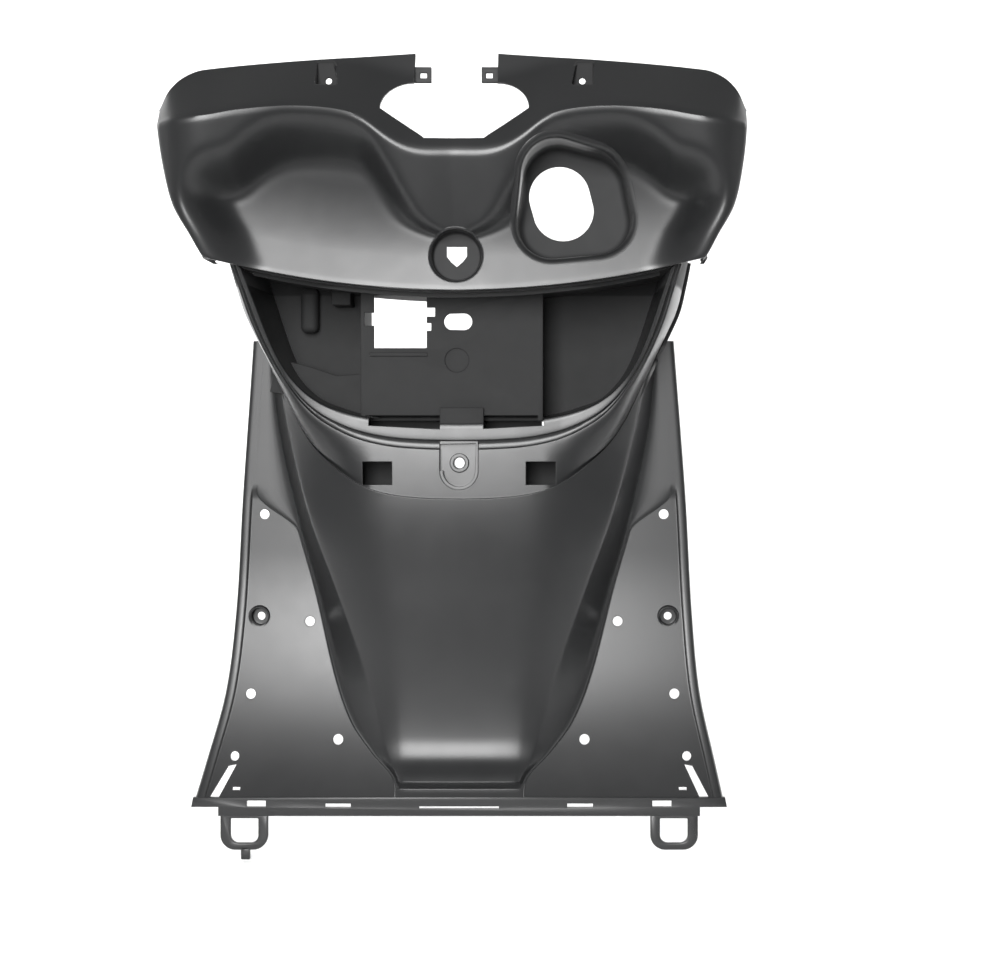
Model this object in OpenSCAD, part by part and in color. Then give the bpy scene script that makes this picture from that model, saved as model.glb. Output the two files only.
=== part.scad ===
// Inner console panel of a small scooter, one black injection moulding:
// a leg shield with a raised centre tunnel, a glove box pod and a winged cowl round the steering column.
// Built with X to the right, Y forward and away from the rider, Z up.
// The helper coordinate "out" is the distance that a surface stands out towards the rider, so Y = -out.

/* [Panel] */
// Wall thickness of the moulding
wall = 2.6; // [2:0.1:3.4]
// Width across the foot flange
foot_w = 416; // [380:1:450]
// Width across the leg panels at mid height
leg_mid_w = 362; // [340:1:390]
// Width across the leg panels at their top corners
leg_top_w = 340; // [325:1:352]
// Height of the leg panels above the foot
leg_h = 372; // [362:1:385]
// How far the foot of the panel sweeps out towards the rider
toe_out = 60; // [45:1:75]
// Height at which the leg panels start to sweep out
toe_start = 205; // [180:1:230]
// Depth of the turned-back outer edge of the leg panels
edge_return = 8; // [5:0.5:12]

/* [Tunnel] */
// Width of the tunnel at its root, level with the glove box floor
tunnel_root_w = 300; // [280:1:310]
// Width of the tunnel at its foot
tunnel_foot_w = 100; // [80:1:120]
// Width of the flat top of the tunnel at its upper end
tunnel_flat_w = 138; // [110:1:150]
// How far the tunnel stands out at its upper end
tunnel_out = 66; // [60:0.5:72]
// How far the tunnel stands out at its waist
tunnel_waist_out = 47; // [42:0.5:52]
// Height of the tunnel's lower end wall
tunnel_end_z = 26; // [22:1:34]

/* [Mat recess] */
// Depth of the recess that takes the rubber foot mat
mat_depth = 1.2; // [0.8:0.1:1.5]
// Width of the rim left outside the mat recess
mat_rim = 8; // [5:0.5:12]
// Height of the upper tip of the mat recess
mat_tip_z = 252; // [235:1:270]
// Diameter of the holes for the mat pegs
peg_hole_d = 8; // [5:0.5:10]
// Diameter of the frame screw holes in the leg panels
leg_screw_d = 6.5; // [5:0.1:8]
// Diameter of the seats round those screws
leg_seat_d = 14; // [11:0.5:18]
// Distance across between the two leg panel screws
leg_screw_span = 331; // [320:1:338]
// Height of the two leg panel screws
leg_screw_z = 149; // [130:1:165]

/* [Glove box] */
// Width across the pod at its top
pod_top_w = 358; // [350:1:366]
// Width across the mouth of the glove box at its top
mouth_top_w = 322; // [310:1:330]
// Height of the seat rim at the bottom of the pod
pod_floor_z = 246; // [240:1:252]
// Height of the lower edge of the mouth
mouth_floor_z = 305; // [300:1:310]
// How far the lower edge of the mouth stands out
mouth_low_out = 62; // [58:0.5:64]
// How far the upper end of the mouth stands out
mouth_top_out = 97; // [90:1:102]
// How far the glove box floor stands out from the leg panels
bay_out = 6; // [3:0.5:14]
// How far the centre block in the glove box stands out
block_out = 56; // [50:0.5:58]
// Left side of the centre block
block_left = 77; // [70:1:82]
// Right side of the centre block
block_right = 65; // [58:1:70]

/* [Cowl] */
// Width across the cowl's wings
cowl_w = 433; // [410:1:450]
// Height of the cowl's top edge beside the steering column
cowl_top_z = 587; // [575:1:600]
// Height of the ridge under the steering column
ridge_low_z = 506; // [500:1:512]
// Height of the ridge on the wings
ridge_high_z = 536; // [528:1:542]
// How far the ridge stands out under the steering column
ridge_mid_out = 121; // [114:1:128]
// How far the ridge stands out at the wing corners
ridge_wing_out = 150; // [140:1:160]
// Height of the cowl's lower lip at the centre
lip_z = 404; // [398:1:410]
// How far the lower lip stands out
lip_out = 100; // [96:1:104]
// How far the wings' side walls reach back, as a stand-out distance
wing_back_out = 70; // [60:1:90]
// Width of the steering column cut-out
column_w = 111; // [100:1:118]
// Width of the gap at the top of the cut-out
column_gap = 63; // [56:1:70]

/* [Switch recess] */
// Width of the ignition switch hole
switch_w = 47; // [40:0.5:50]
// Length of the ignition switch hole
switch_l = 58; // [54:0.5:62]
// Lean of the ignition switch hole
switch_lean = 15; // [8:1:20]
// How far the floor of the switch recess stands out
switch_out = 68; // [62:1:74]

/* [Centre screw] */
// Diameter of the centre frame screw hole
centre_screw_d = 8.4; // [6:0.1:9]
// Diameter of the seat round the centre screw
centre_seat_d = 15; // [13:0.5:18]
// Height of the centre screw
centre_screw_z = 274; // [270:0.5:278]

/* [Hidden] */
$fn = 24;

foot_h = 14.5;

function clamp01(t) = max(0, min(1, t));
function ease(t) = let (c = clamp01(t)) c * c * (3 - 2 * c);
function mix(a, b, t) = a + (b - a) * t;

// Smooth curve through stations [position, value] in rising order
function station(t, x, i = 0) = (i >= len(t) - 2 || x < t[i + 1][0]) ? i : station(t, x, i + 1);
function rate(t, i) =
    let (a = max(i - 1, 0), b = min(i + 1, len(t) - 1))
    (t[b][1] - t[a][1]) / (t[b][0] - t[a][0]);
function curve(t, x) =
    let (
        i = station(t, x),
        h = t[i + 1][0] - t[i][0],
        s = clamp01((x - t[i][0]) / h),
        s2 = s * s,
        s3 = s2 * s
    )
    t[i][1] * (2 * s3 - 3 * s2 + 1) + t[i + 1][1] * (3 * s2 - 2 * s3)
    + h * (rate(t, i) * (s3 - 2 * s2 + s) + rate(t, i + 1) * (s3 - s2));

// Closed thin shell between a front and a back grid of points with the same rows and columns
module shell_solid(front, back) {
    rows = len(front);
    cols = len(front[0]);
    half = rows * cols;
    points = concat([for (r = front) each r], [for (r = back) each r]);
    function at(r, c) = r * cols + c;
    rim = concat(
        [for (c = [0 : 1 : cols - 1]) at(0, c)],
        [for (r = [1 : 1 : rows - 1]) at(r, cols - 1)],
        [for (c = [cols - 2 : -1 : 0]) at(rows - 1, c)],
        [for (r = [rows - 2 : -1 : 1]) at(r, 0)]);
    // Each cell is split along its shorter diagonal
    function rising(g, r, c) = norm(g[r][c] - g[r + 1][c + 1]) < norm(g[r + 1][c] - g[r][c + 1]);
    function cell(a, b, c, d, up) = up ? [[a, b, c], [a, c, d]] : [[a, b, d], [b, c, d]];
    faces = concat(
        [for (r = [0 : rows - 2]) for (c = [0 : cols - 2]) each
            cell(at(r, c), at(r + 1, c), at(r + 1, c + 1), at(r, c + 1), rising(front, r, c))],
        [for (r = [0 : rows - 2]) for (c = [0 : cols - 2]) each
            cell(half + at(r, c + 1), half + at(r + 1, c + 1), half + at(r + 1, c), half + at(r, c),
                !rising(back, r, c))],
        [for (i = [0 : len(rim) - 1]) let (a = rim[i], b = rim[(i + 1) % len(rim)]) each [
            [a, b, half + b],
            [a, half + b, half + a]]]);
    polyhedron(points, faces);
}

// A section's back line, one wall behind the front line, with mitred corners
function unit2(v) = v / max(norm(v), 1e-6);
function left_of(v) = [-v[1], v[0]];
function behind(line, t) = [for (i = [0 : len(line) - 1])
    let (
        a = unit2(line[i] - line[max(i - 1, 0)]),
        b = unit2(line[min(i + 1, len(line) - 1)] - line[i]),
        na = left_of(i == 0 ? b : a),
        nb = left_of(i == len(line) - 1 ? a : b),
        k = max(0.35, 1 + na * nb)
    )
    line[i] - t * (na + nb) / k];

// Leg shield: every section runs across the panel at one height, as [x, out]
leg_half = [
    [0, foot_w / 2],
    [40, foot_w / 2 - 8],
    [90, leg_mid_w / 2 + 9],
    [150, leg_mid_w / 2 + 4],
    [245, leg_mid_w / 2 - 1],
    [leg_h, leg_top_w / 2]];
function leg_edge(z) = curve(leg_half, z);
function leg_out(z) = z < toe_start
    ? toe_out * pow((toe_start - z) / (toe_start - foot_h), 2.2)
    : 8 * pow((z - toe_start) / (leg_h - toe_start), 2);

root_half = [
    [0, tunnel_foot_w / 2],
    [tunnel_end_z, tunnel_foot_w / 2],
    [45, tunnel_foot_w / 2 + 18],
    [68, tunnel_foot_w / 2 + 36],
    [104, tunnel_foot_w / 2 + 51],
    [172, tunnel_root_w / 2 - 31],
    [233, tunnel_root_w / 2 - 14],
    [306, tunnel_root_w / 2 + 1],
    [leg_h, tunnel_root_w / 2 + 6]];
ridge_half = [
    [0, tunnel_foot_w / 2 - 3],
    [tunnel_end_z, tunnel_foot_w / 2 - 3],
    [45, tunnel_foot_w / 2 + 6],
    [104, tunnel_foot_w / 2 + 22],
    [172, tunnel_root_w / 2 - 54],
    [233, tunnel_root_w / 2 - 32],
    [306, tunnel_root_w / 2 - 12],
    [leg_h, tunnel_root_w / 2 + 2]];
flat_half = [
    [0, tunnel_foot_w / 2 - 8],
    [tunnel_end_z, tunnel_foot_w / 2 - 7],
    [104, tunnel_flat_w / 2 - 20],
    [pod_floor_z, tunnel_flat_w / 2],
    [leg_h, tunnel_flat_w / 2 + 8]];
crown_out = [
    [0, toe_out + 6],
    [tunnel_end_z, toe_out + 3],
    [42, tunnel_waist_out + 4],
    [58, tunnel_waist_out],
    [104, tunnel_waist_out + 1.5],
    [172, mix(tunnel_waist_out, tunnel_out, 0.5)],
    [pod_floor_z, tunnel_out],
    [leg_h, tunnel_out + 6]];
// Share of the tunnel's rise that its side walls reach before they break over at the ridge
ridge_share = [[0, 0.74], [200, 0.74], [pod_floor_z, 0.66], [mouth_floor_z, 0.42], [leg_h, 0.16]];
function tunnel_rise(z) = ease((z - tunnel_end_z + 5) / 5) * (curve(crown_out, z) - leg_out(z));

function mat_outer(z) = leg_edge(z) - mat_rim;
function mat_inner(z) = mix(curve(root_half, z) + 2, mat_outer(z) - 3, ease((z - mat_tip_z + 34) / 34));
function mat_sink(z) = mat_depth * ease((mat_tip_z - z) / 4);

function leg_half_section(z, sink) =
    let (
        plane = leg_out(z),
        rise = tunnel_rise(z),
        flat = curve(flat_half, z),
        ridge = curve(ridge_half, z),
        root = curve(root_half, z),
        inner = mat_inner(z),
        outer = mat_outer(z),
        edge = leg_edge(z),
        floor = plane - sink,
        ridge_rise = rise * curve(ridge_share, z)
    )
    [
        [0, plane + rise],
        [flat, plane + rise * 0.975],
        [mix(flat, ridge, 0.55), plane + mix(rise * 0.975, ridge_rise, 0.44)],
        [ridge, plane + ridge_rise],
        [mix(ridge, root, 0.12), plane + ridge_rise * 0.9],
        [mix(ridge, root, 0.72), plane + ridge_rise * 0.24],
        [mix(ridge, root, 0.88), plane + ridge_rise * 0.07],
        [root, plane],
        [inner - 0.8, plane],
        [inner, floor],
        [mix(inner, outer, 0.5), floor],
        [outer, floor],
        [outer + 0.8, plane],
        [edge - 1.6, plane],
        [edge, plane - 1.6],
        [edge, plane - edge_return]];

function mirrored(half) = concat(
    [for (i = [len(half) - 1 : -1 : 1]) [-half[i][0], half[i][1]]],
    half);
function lift(line, z) = [for (p = line) [p[0], -p[1], z]];

leg_rows = concat(
    [foot_h - 1, tunnel_end_z - 5, tunnel_end_z],
    [for (z = [35 : 10 : 75]) z],
    [for (z = [90 : 20 : 190]) z],
    [for (k = [0 : 5]) mat_tip_z - 36 + 7.2 * k],
    [mat_tip_z + 4],
    [for (k = [1 : 3]) mix(mat_tip_z + 4, leg_h, k / 3)]);

module leg_shield() {
    shell_solid(
        [for (z = leg_rows) lift(mirrored(leg_half_section(z, mat_sink(z))), z)],
        [for (z = leg_rows) lift(behind(mirrored(leg_half_section(z, 0)), wall), z)]);
}

// Glove box pod: both outlines run from the bottom centre up the right side, as [x, z]
pod_half = pod_top_w / 2;
mouth_half = mouth_top_w / 2;
pod_outline = [
    [0, pod_floor_z],
    [26, pod_floor_z + 0.6],
    [50, pod_floor_z + 3],
    [68, pod_floor_z + 7.5],
    [84, pod_floor_z + 15],
    [100, pod_floor_z + 27],
    [116, pod_floor_z + 42],
    [129, pod_floor_z + 61],
    [139, pod_floor_z + 81],
    [150, pod_floor_z + 103],
    [163.1, pod_floor_z + 129.5],
    [pod_half - 8, pod_floor_z + 148],
    [pod_half - 3, pod_floor_z + 168],
    [pod_half + 1, pod_floor_z + 188]];
mouth_outline = [
    [0, mouth_floor_z],
    [24, mouth_floor_z + 0.4],
    [46, mouth_floor_z + 1.4],
    [64, mouth_floor_z + 3.5],
    [80, mouth_floor_z + 6.5],
    [94, mouth_floor_z + 10.5],
    [106, mouth_floor_z + 15.5],
    [117, mouth_floor_z + 22.5],
    [126, mouth_floor_z + 31],
    [133, mouth_floor_z + 40],
    [140, mouth_floor_z + 53],
    [mouth_half - 14, mouth_floor_z + 71],
    [mouth_half - 7, mouth_floor_z + 92],
    [mouth_half + 1, mouth_floor_z + 116]];
pod_steps = len(pod_outline) - 1;
pod_overlap = 1.2;
pod_back_out = 12;
function across(line, x, i = 0) = (i >= len(line) - 2 || x < line[i + 1][0])
    ? mix(line[i][1], line[i + 1][1], clamp01((x - line[i][0]) / (line[i + 1][0] - line[i][0])))
    : across(line, x, i + 1);
function leg_surface(x, z) = across(leg_half_section(z, 0), x);
// Where the pod's skin starts, just inside the leg shield's skin, and free above the leg panels
function pod_foot_out(x, z) = mix(leg_surface(x, min(z, leg_h)) - wall / 2, pod_back_out, ease((z - leg_h + 14) / 12));
seat_sink = 4;
function mouth_out(z) = mouth_low_out + (mouth_top_out - mouth_low_out)
    * pow(clamp01((z - mouth_floor_z - 6) / (lip_z - mouth_floor_z + 10)), 1.15);

// One section of the pod wall: the outer skin bulges up from the leg shield to the mouth's edge,
// with a thin groove beside the edge, and the box wall goes back from there.
pod_bulge = [0.05, 0.17, 0.37];
function pod_section(i) =
    let (
        o = pod_outline[i],
        m = mouth_outline[i],
        dir = unit2([m[0] - o[0], m[1] - o[1]]),
        foot = pod_foot_out(o[0], o[1]),
        high = mouth_out(m[1]),
        low = min(foot + wall / 2 - seat_sink, high - 1),
        skirt = [
            [o[0] - pod_overlap * dir[0], foot, o[1] - pod_overlap * dir[1]],
            [o[0], min(foot, low), o[1]]],
        skin = [for (t = pod_bulge)
            [mix(o[0], m[0], t), low + (high - low) * sqrt(1 - pow(1 - t / 0.62, 2)), mix(o[1], m[1], t)]],
        rim = [for (t = [[0.62, 0], [0.66, -2.4], [0.76, -2.4], [0.8, 0.4], [0.98, 0.4]])
            [mix(o[0], m[0], t[0]), high + t[1], mix(o[1], m[1], t[0])]],
        deep = [for (d = [0.12, 1])
            [m[0] * (1 - 0.03 * d), mix(high, bay_out - wall / 2, d), m[1] + 2.5 * d * (i < 6 ? 1 : 0)]]
    )
    concat(skirt, skin, rim, deep);
function pod_place(p) = [p[0], -p[1], p[2]];
// The wall is thickened square to the outline, in the plane of [distance inwards, out]
function pod_back(i) =
    let (
        line = pod_section(i),
        a = line[0],
        b = line[len(line) - 1],
        dir = unit2([b[0] - a[0], b[2] - a[2]]),
        flat = [for (p = line) [(p[0] - a[0]) * dir[0] + (p[2] - a[2]) * dir[1], p[1]]],
        thick = behind(flat, wall)
    )
    [for (k = [0 : len(line) - 1])
        let (shift = thick[k][0] - flat[k][0])
        [line[k][0] + shift * dir[0], thick[k][1], line[k][2] + shift * dir[1]]];
function flip_x(line) = [for (p = line) [-p[0], p[1], p[2]]];

module pod_wall() {
    down = [for (i = [pod_steps : -1 : 0]) i];
    up = [for (i = [1 : pod_steps]) i];
    front = concat([for (i = down) pod_section(i)], [for (i = up) flip_x(pod_section(i))]);
    back = concat([for (i = down) pod_back(i)], [for (i = up) flip_x(pod_back(i))]);
    shell_solid(
        [for (r = front) [for (p = r) pod_place(p)]],
        [for (r = back) [for (p = r) pod_place(p)]]);
}

// Cowl: a surface given as a stand-out over x and z
cowl_half = cowl_w / 2;
top_edge = [
    [0, cowl_top_z],
    [column_gap / 2, cowl_top_z - 1],
    [104, cowl_top_z - 8],
    [cowl_half - 30, cowl_top_z - 19],
    [cowl_half - 16, cowl_top_z - 26],
    [cowl_half - 6, cowl_top_z - 38],
    [cowl_half, cowl_top_z - 53]];
function top_z(x) = curve(top_edge, x);
wing_half = [
    [lip_z + 16, pod_half + 3],
    [lip_z + 26, pod_half + 10],
    [lip_z + 40, cowl_half - 20],
    [lip_z + 62, cowl_half - 8],
    [lip_z + 92, cowl_half - 2],
    [lip_z + 120, cowl_half],
    [cowl_top_z, cowl_half]];
function wing_edge(z) = curve(wing_half, z);
ridge_line = [
    [0, ridge_low_z],
    [24, ridge_low_z],
    [39, mix(ridge_low_z, ridge_high_z, 0.13)],
    [53, mix(ridge_low_z, ridge_high_z, 0.42)],
    [68, mix(ridge_low_z, ridge_high_z, 0.8)],
    [86, ridge_high_z - 1],
    [118, ridge_high_z],
    [154, ridge_high_z - 4],
    [178, ridge_high_z - 9],
    [cowl_half, ridge_high_z - 14]];
function ridge_z(x) = curve(ridge_line, x);
ridge_stand = [
    [0, ridge_mid_out],
    [55, ridge_mid_out + 5],
    [110, mix(ridge_mid_out, ridge_wing_out, 0.55)],
    [cowl_half - 38, ridge_wing_out],
    [cowl_half - 16, ridge_wing_out - 2],
    [cowl_half, ridge_wing_out - 12]];
function ridge_out(x) = curve(ridge_stand, x);
top_stand = [
    [0, ridge_mid_out - 37],
    [60, ridge_mid_out - 34],
    [110, ridge_mid_out - 24],
    [cowl_half - 28, ridge_wing_out - 38],
    [cowl_half, ridge_wing_out - 22]];
function lip_height(x) = lip_z + 18 * pow(x / mouth_half, 2);
bulge_half = [[lip_z + 36, -22], [lip_z + 46, 8], [lip_z + 66, 30], [ridge_low_z, 46], [cowl_top_z, 52]];

// How far a point lies inside the dish: 0 on the ridge, the wing and the column bulge, 1 on the shelf
wall_run = 42;
wing_run = 40;
bulge_run = 26;
function dish(x, z, ridge) =
    let (
        up = 1 - clamp01((ridge - z) / wall_run),
        wing = 1 - clamp01((wing_edge(z) - 4 - x) / wing_run),
        bulge = 1 - clamp01((x - curve(bulge_half, z)) / bulge_run)
    )
    ease(1 - norm([up, wing])) * ease(1 - norm([up * 0.6, bulge]));
function cowl_out(x, z, ridge) =
    let (
        over = z - ridge,
        strip = mix(ridge_out(x), curve(top_stand, x), over / (top_z(x) - ridge)),
        under = ridge_out(x) + over * 0.36,
        shelf = lip_out - 0.16 * (z - lip_height(x))
    )
    over > 0 ? strip : mix(under, min(shelf, under), dish(x, z, ridge));

bulge_cols = 5;
wing_cols = 14;
cowl_cols = bulge_cols + wing_cols;
side_cols = 2;
lip_rows = 2;
face_rows = 12;
strip_rows = 2;
function bulge_mid(z) = max(14, curve(bulge_half, z) + bulge_run / 2);
// Columns follow the flank of the column bulge, and lie closer together at the wing
function column_x(k, z) = k < bulge_cols
    ? bulge_mid(z) * k / bulge_cols
    : mix(bulge_mid(z), wing_edge(z), 1 - pow(1 - (k - bulge_cols) / wing_cols, 1.3));
function cowl_point(k, r) =
    let (
        side = max(0, abs(k) - cowl_cols),
        col = min(abs(k), cowl_cols),
        x0 = column_x(col, ridge_high_z),
        lip = lip_height(min(x0, pod_half)),
        ridge = ridge_z(x0),
        z = r < face_rows
            ? mix(lip, ridge, max(r, 0) / face_rows)
            : mix(ridge, top_z(x0), (r - face_rows) / strip_rows),
        x = column_x(col, z),
        face = cowl_out(x, z, ridge),
        out = mix(face, min(face, wing_back_out), side / side_cols),
        deep = [out, out - 3, out - 12],
        rise = [0, 0.5, 2]
    )
    [sign(k) * x, -(r < 0 ? min(out, deep[-r]) : out), z + (r < 0 ? rise[-r] : 0)];

function cross_at(g, r, c) =
    let (
        r0 = max(r - 1, 0), r1 = min(r + 1, len(g) - 1),
        c0 = max(c - 1, 0), c1 = min(c + 1, len(g[0]) - 1),
        n = cross(g[r1][c] - g[r0][c], g[r][c1] - g[r][c0])
    )
    n / max(norm(n), 1e-6);

cowl_front = [for (r = [-lip_rows : face_rows + strip_rows])
    [for (k = [-cowl_cols - side_cols : cowl_cols + side_cols]) cowl_point(k, r)]];
module cowl_skin() {
    shell_solid(cowl_front, [for (r = [0 : len(cowl_front) - 1])
        [for (c = [0 : len(cowl_front[0]) - 1]) cowl_front[r][c] + wall * cross_at(cowl_front, r, c)]]);
}
// Everything behind the cowl's face, to trim what is built up to it
module cowl_core() {
    face = [for (r = [lip_rows : len(cowl_front) - 1])
        [for (c = [side_cols : len(cowl_front[0]) - 1 - side_cols]) cowl_front[r][c]]];
    shell_solid(face, [for (row = face) [for (p = row) [p[0], through / 10, p[2]]]]);
}

// A flat outline in x and z, extruded from the stand-out "back" to the stand-out "face"
module slab(back, face) {
    rotate([90, 0, 0])
        translate([0, 0, back])
            linear_extrude(height = face - back) children();
}
through = 200;
module both_sides() {
    children();
    mirror([1, 0, 0]) children();
}
module hole_at(x, z, d) {
    translate([x, 0, z])
        rotate([90, 0, 0])
            translate([0, 0, -40])
                cylinder(h = 260, d = d);
}

module pod_shadow() {
    right = pod_outline;
    left = [for (i = [pod_steps : -1 : 1]) [-pod_outline[i][0], pod_outline[i][1]]];
    polygon(concat(right, left));
}

// Floor of the glove box, cut by the outline of the mouth at its depth
module bay_floor() {
    deep = [for (i = [0 : pod_steps]) let (p = pod_section(i)) let (q = p[len(p) - 1]) [q[0] + 1, q[2] - 1]];
    left = [for (i = [pod_steps : -1 : 1]) [-deep[i][0], deep[i][1]]];
    top = [for (k = [-5 : 5]) let (x = k / 5 * mouth_half) [-x, lip_height(x) + 3 + wall]];
    slab(bay_out - wall, bay_out)
        polygon(concat([for (i = [0 : pod_steps - 1]) deep[i]], top, [for (i = [1 : pod_steps - 1]) left[i]]));
}

// Walled pocket sunk into the cowl: child 0 is its outline, child 1 the hole in its floor
module cowl_pocket_cut(floor_out) {
    slab(floor_out, through) offset(delta = -wall) children();
}
module cowl_pocket_wall(floor_out) {
    intersection() {
        cowl_core();
        slab(floor_out - wall, through) children();
    }
}

module switch_outline() {
    offset(r = 26, $fn = 32)
        polygon([[69, 498], [115, 498], [121, 454], [67, 452]]);
}
module hook_outline() {
    translate([0, lip_z + 27]) circle(r = 21);
    translate([-21, lip_z + 27]) square([42, 22]);
}
module screw_pocket_outline() {
    polygon([[87, cowl_top_z - 31], [92, cowl_top_z - 11], [104, cowl_top_z - 11], [104, cowl_top_z - 31]]);
}
module column_outline() {
    half = column_w / 2;
    gap = column_gap / 2;
    waist = ridge_low_z + 33;
    arc = [for (a = [0 : 15 : 90]) [half - (half - gap) * (1 - cos(a)), waist + 22 * sin(a)]];
    right = concat([[half * 0.4, ridge_low_z + 10], [half * 0.47, ridge_low_z + 13]], arc, [[gap, cowl_top_z + 20]]);
    left = [for (i = [len(right) - 1 : -1 : 0]) [-right[i][0], right[i][1]]];
    polygon(concat(right, left));
}

module cowl() {
    difference() {
        union() {
            difference() {
                cowl_skin();
                cowl_pocket_cut(switch_out) switch_outline();
                cowl_pocket_cut(lip_out - 15) hook_outline();
                both_sides() cowl_pocket_cut(100) screw_pocket_outline();
            }
            difference() {
                union() {
                    cowl_pocket_wall(switch_out) switch_outline();
                    cowl_pocket_wall(lip_out - 15) hook_outline();
                    both_sides() cowl_pocket_wall(100) screw_pocket_outline();
                }
                cowl_pocket_cut(switch_out) switch_outline();
                cowl_pocket_cut(lip_out - 15) hook_outline();
                both_sides() cowl_pocket_cut(100) screw_pocket_outline();
            }
        }
        slab(0, through) column_outline();
        // Ignition switch hole
        slab(0, through)
            translate([79.5, 474])
                rotate(switch_lean)
                    hull() {
                        translate([0, (switch_l - switch_w) / 2]) circle(d = switch_w);
                        translate([0, (switch_w - switch_l) / 2]) circle(d = switch_w);
                    }
        // Keyed hole for the bag hook
        slab(0, through)
            translate([0, lip_z + 27])
                polygon([[-7.7, 8], [7.7, 8], [7.7, 0.5], [4.2, -4], [0, -7.5], [-4.2, -4], [-7.7, 0.5]]);
    }
}

module tongue_clips() {
    both_sides()
        difference() {
            slab(86.4, 89.4) translate([column_gap / 2 - 12.5, cowl_top_z - 24]) square([16, 12]);
            slab(0, through) translate([column_gap / 2 - 9, cowl_top_z - 20.5]) square([5, 4]);
        }
}

// A strip that follows the cowl's lip, from "low" to "high" above it
module lip_strip(low, high, half) {
    up = [for (k = [-6 : 6]) let (x = k / 6 * half) [x, lip_height(x) + high]];
    down = [for (k = [6 : -1 : -6]) let (x = k / 6 * half) [x, lip_height(x) + low]];
    polygon(concat(up, down));
}
module glove_box_roof() {
    intersection() {
        cowl_core();
        slab(bay_out - wall, ridge_wing_out) lip_strip(2.2, 2.2 + wall, pod_half - 10);
    }
    slab(lip_out - 18.6, lip_out - 15) lip_strip(-3.5, 4, mouth_half - 6);
}

module block_outline() {
    translate([-block_left, mouth_floor_z + 2]) square([block_left + block_right, lip_z - mouth_floor_z + 8]);
}
module shelf_outline() {
    polygon([[-152, 330], [-147, 357], [-120, 350], [-99, 343], [-72, 345], [-72, 306], [-95, 314], [-120, 326]]);
}
module glove_box() {
    difference() {
        union() {
            bay_floor();
            slab(bay_out - wall, block_out) block_outline();
            slab(bay_out - wall, 32) shelf_outline();
            // Round boss and hanging tab at the top of the left bay
            translate([-123, -bay_out - 6, 378]) cylinder(h = 36, r = 7);
            slab(bay_out - 1, bay_out + 26) translate([-103, 399]) square([15, 16]);
        }
        slab(-through, block_out - wall) offset(delta = -wall) block_outline();
        slab(-through, 32 - wall)
            intersection() {
                offset(delta = -wall) shelf_outline();
                translate([-137, pod_floor_z]) square([100, 150]);
            }
        // Window, oval hole and round mark in the block's face
        slab(0, through) translate([-66.5, 363.5]) square([41, 41]);
        slab(0, through)
            translate([-1, 384])
                hull() {
                    translate([-4.5, 0]) circle(d = 13);
                    translate([4.5, 0]) circle(d = 13);
                }
        slab(block_out - 1.4, through) translate([-2, 354]) circle(r = 9.4);
        slab(0, through) translate([-74, 381]) square([9, 10]);
        slab(0, through) translate([-27, 388]) square([8, 7]);
        slab(0, through) translate([-27, 377]) square([5, 6]);
        // Gap under the block's face
        slab(block_out - 12, through)
            translate([-block_left + 4, mouth_floor_z - 3]) square([block_left + block_right - 8, 9]);
    }
    slab(block_out - 1, block_out + 1.6) translate([-70, 357]) square([45, 3]);
}

module lid_seat_cuts() {
    // Slots for the lid's hinge fingers, either side of the tongue
    slab(20, through) translate([-70, mouth_floor_z - 2]) rotate(-3) square([55, 6.4]);
    slab(20, through) mirror([1, 0, 0]) translate([-66, mouth_floor_z - 2]) rotate(-3) square([47, 6.4]);
    both_sides() slab(20, through) translate([52, pod_floor_z + 11]) square([23, 18]);
}
module screw_seat_outline() {
    translate([0, centre_screw_z - 6]) circle(r = 15);
    translate([-15, centre_screw_z - 6]) square([30, 23]);
}
seat_out = mouth_low_out - 6;
module screw_seat() {
    difference() {
        slab(seat_out - wall, mouth_low_out - 0.5) offset(delta = wall) screw_seat_outline();
        slab(seat_out, through) screw_seat_outline();
    }
    slab(seat_out - 10, seat_out + 2) translate([0, centre_screw_z]) circle(d = centre_seat_d);
}

module foot_flange() {
    half = foot_w / 2;
    difference() {
        slab(toe_out - wall - 1, toe_out + 0.6)
            polygon([[-half, 7], [-half + 21, 7], [-half + 21, 0], [half - 21, 0], [half - 21, 7], [half, 7],
                [half - 1.5, foot_h], [-half + 1.5, foot_h]]);
        both_sides() {
            slab(0, through) translate([150, 7]) square([15, 5]);
            slab(0, through) translate([84, 6.5]) square([20, 3.2]);
        }
        slab(0, through) translate([-31, 5.5]) square([62, 2]);
    }
}
module foot_loop() {
    slab(toe_out - 4, toe_out)
        difference() {
            hull() {
                translate([148, 1]) square([37.5, 1]);
                translate([160, -15]) circle(r = 11.5);
                translate([174, -15]) circle(r = 11.5);
            }
            hull() {
                translate([156, -3]) square([21, 1]);
                translate([162, -15]) circle(r = 6);
                translate([171.5, -15]) circle(r = 6);
            }
        }
}

module skin() {
    difference() {
        union() {
            difference() {
                leg_shield();
                slab(-through, through) offset(delta = -0.6) pod_shadow();
            }
            difference() {
                pod_wall();
                lid_seat_cuts();
                slab(seat_out, through) screw_seat_outline();
            }
            cowl();
            glove_box();
            glove_box_roof();
            screw_seat();
            tongue_clips();
            foot_flange();
            both_sides() foot_loop();
            slab(toe_out - 4, toe_out) translate([-169.5, -34]) square([7, 10]);
            // Tongue that joins the block to the lid seat
            slab(block_out - wall, mouth_low_out - 1) translate([-15, mouth_floor_z - 8]) square([34, 20]);
        }
        // Slanted slots at the foot corners
        both_sides() slab(0, through)
            polygon([[176, 37], [182, 36], [194, 14], [188, 12]]);
        both_sides() slab(0, through) translate([171, 19]) square([6, 2.2]);
    }
}

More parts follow.
